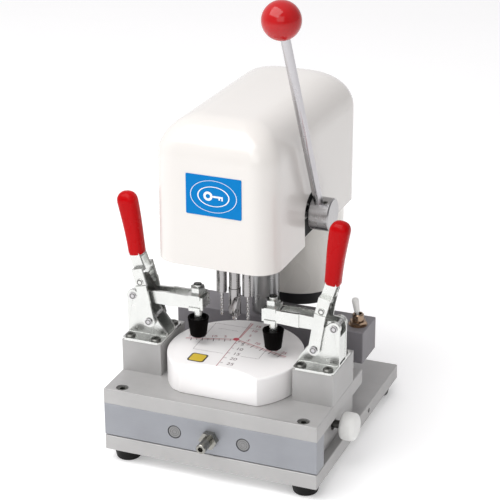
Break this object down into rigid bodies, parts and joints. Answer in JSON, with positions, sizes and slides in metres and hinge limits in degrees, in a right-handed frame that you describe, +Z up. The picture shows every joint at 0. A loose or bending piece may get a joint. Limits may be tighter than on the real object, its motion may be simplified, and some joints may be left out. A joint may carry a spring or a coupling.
{
  "type": "key duplicating machine",
  "caption": "Bench key duplicating machine: rubber-footed base, sliding carriage with toggle clamps and round key table, covered motor head with drill spindles, side feed lever.",
  "frame": {"origin": "bottom centre of the whole object's bounding box at rest, on the plane the rubber feet stand on", "axes": "+X to the operator's right, towards the feed lever; +Y away from the operator, towards the motor; +Z up"},
  "size_m": [0.2486, 0.3196, 0.4712],
  "materials": {
    "plate_metal": "satin, ground",
    "bar_metal": "satin, ground",
    "block_grey": "satin",
    "steel": "turned",
    "column_steel": "ground, oiled",
    "zinc": "bright zinc plated",
    "dark_screw": "black oxide",
    "tool_steel": "ground",
    "grip_red": "gloss, dipped",
    "ball_red": "gloss",
    "tip_rubber": "matte",
    "foot_rubber": "matte",
    "belt_rubber": "matte",
    "nylon_white": "satin",
    "table_white": "satin with printed scale",
    "cover_white": "gloss",
    "motor_cream": "gloss paint",
    "black_plastic": "satin",
    "frame_black": "satin paint on a casting",
    "bronze": "turned",
    "label_blue": "satin, plain blue"
  },
  "bodies": {
    "base": {"base_plate": "plate_metal", "rubber_feet": "foot_rubber", "base_screws": "dark_screw", "slide_body": "plate_metal", "guide_bushes": "bronze", "riser_block": "plate_metal", "column_block": "block_grey", "column": "column_steel", "rack": "steel", "switch_bushing": "bronze", "cable_gland": "black_plastic"},
    "switch": {"switch_lever": "nylon_white"},
    "lock": {"lock_knob": "nylon_white", "lock_stud": "dark_screw"},
    "carriage": {"front_bar": "bar_metal", "top_plate": "plate_metal", "guide_rods": "steel", "end_block_left": "plate_metal", "end_block_right": "plate_metal", "key_table": "table_white", "carriage_screws": "dark_screw", "stop_screw": "zinc", "clamp_flange_left": "zinc", "clamp_flange_right": "zinc", "clamp_pins": "steel"},
    "head": {"head_frame": "frame_black", "head_cover": "cover_white", "cover_screws": "dark_screw", "label_plate": "label_blue", "head_bushes": "bronze", "motor_housing": "motor_cream", "motor_end_cap": "black_plastic", "drive_belts": "belt_rubber", "spindle_bearings": "steel", "return_spring": "steel"},
    "feed": {"feed_shaft": "steel", "pinion": "steel", "lever_hub": "steel", "lever_rod": "steel", "lever_ball": "ball_red"},
    "rotor": {"motor_rotor": "steel"},
    "spindle_left": {"spindle_left": "steel", "cutter_left": "tool_steel"},
    "spindle_middle": {"spindle_middle": "steel", "cutter_middle": "tool_steel"},
    "spindle_right": {"spindle_right": "steel", "cutter_right": "tool_steel"},
    "arm_left": {"clamp_arm_left": "zinc", "clamp_bolt_left": "zinc", "rubber_tip_left": "tip_rubber"},
    "handle_left": {"clamp_handle_left": "zinc", "grip_left": "grip_red"},
    "link_left": {"clamp_link_left": "dark_screw"},
    "arm_right": {"clamp_arm_right": "zinc", "clamp_bolt_right": "zinc", "rubber_tip_right": "tip_rubber"},
    "handle_right": {"clamp_handle_right": "zinc", "grip_right": "grip_red"},
    "link_right": {"clamp_link_right": "dark_screw"}
  },
  "joints": [
    {"name": "carriage_slide", "type": "slide", "parent": "base", "child": "carriage", "axis": [0, -1, 0], "range_m": [-0.001, 0.05]},
    {"name": "head_feed", "type": "slide", "parent": "base", "child": "head", "axis": [0, 0, -1], "range_m": [0, 0.0175], "stiffness_N_per_m": 800, "springref_m": -0.125},
    {"name": "lever_turn", "type": "hinge", "parent": "head", "child": "feed", "pos_m": [-0.01172, 0.0152, 0.229], "axis": [1, 0, 0], "range_deg": [0, 63]},
    {"name": "motor_spin", "type": "hinge", "parent": "head", "child": "rotor", "pos_m": [-0.00072, 0.1092, 0.156], "axis": [0, 0, 1], "continuous": true},
    {"name": "lock_turn", "type": "hinge", "parent": "base", "child": "lock", "pos_m": [0.11628, -0.0648, 0.046], "axis": [1, 0, 0], "range_deg": [0, 180]},
    {"name": "switch_tilt", "type": "hinge", "parent": "base", "child": "switch", "pos_m": [0.08788, 0.0392, 0.111], "axis": [0, 1, 0], "range_deg": [0, 20]},
    {"name": "spindle_left_spin", "type": "hinge", "parent": "head", "child": "spindle_left", "pos_m": [-0.02542, -0.0438, 0.173], "axis": [0, 0, 1], "continuous": true},
    {"name": "spindle_middle_spin", "type": "hinge", "parent": "head", "child": "spindle_middle", "pos_m": [-0.01172, -0.0438, 0.173], "axis": [0, 0, 1], "continuous": true},
    {"name": "spindle_right_spin", "type": "hinge", "parent": "head", "child": "spindle_right", "pos_m": [0.00198, -0.0438, 0.173], "axis": [0, 0, 1], "continuous": true},
    {"name": "handle_left_turn", "type": "hinge", "parent": "carriage", "child": "handle_left", "pos_m": [-0.08742, -0.0668, 0.1301], "axis": [0, -1, 0], "range_deg": [0, 15]},
    {"name": "arm_left_turn", "type": "hinge", "parent": "carriage", "child": "arm_left", "pos_m": [-0.10592, -0.0668, 0.1531], "axis": [0, -1, 0], "range_deg": [0, 24]},
    {"name": "link_left_turn", "type": "hinge", "parent": "handle_left", "child": "link_left", "pos_m": [-0.09642, -0.0668, 0.1701], "axis": [0, -1, 0], "range_deg": [0, 29]},
    {"name": "handle_right_turn", "type": "hinge", "parent": "carriage", "child": "handle_right", "pos_m": [0.08398, -0.0668, 0.1301], "axis": [0, 1, 0], "range_deg": [0, 15]},
    {"name": "arm_right_turn", "type": "hinge", "parent": "carriage", "child": "arm_right", "pos_m": [0.10248, -0.0668, 0.1531], "axis": [0, 1, 0], "range_deg": [0, 24]},
    {"name": "link_right_turn", "type": "hinge", "parent": "handle_right", "child": "link_right", "pos_m": [0.09088, -0.0668, 0.17052], "axis": [0, 1, 0], "range_deg": [0, 29]}
  ],
  "couplings": [
    {"joint": "lever_turn", "follows": "head_feed", "rad_per_m": 62.5},
    {"joint": "spindle_left_spin", "follows": "motor_spin", "ratio": 2.1622},
    {"joint": "spindle_middle_spin", "follows": "motor_spin", "ratio": 2.1622},
    {"joint": "spindle_right_spin", "follows": "motor_spin", "ratio": 2.1622},
    {"joint": "arm_left_turn", "follows": "handle_left_turn", "ratio": 1.6},
    {"joint": "link_left_turn", "follows": "handle_left_turn", "ratio": 1.9},
    {"joint": "arm_right_turn", "follows": "handle_right_turn", "ratio": 1.6},
    {"joint": "link_right_turn", "follows": "handle_right_turn", "ratio": 1.9}
  ]
}
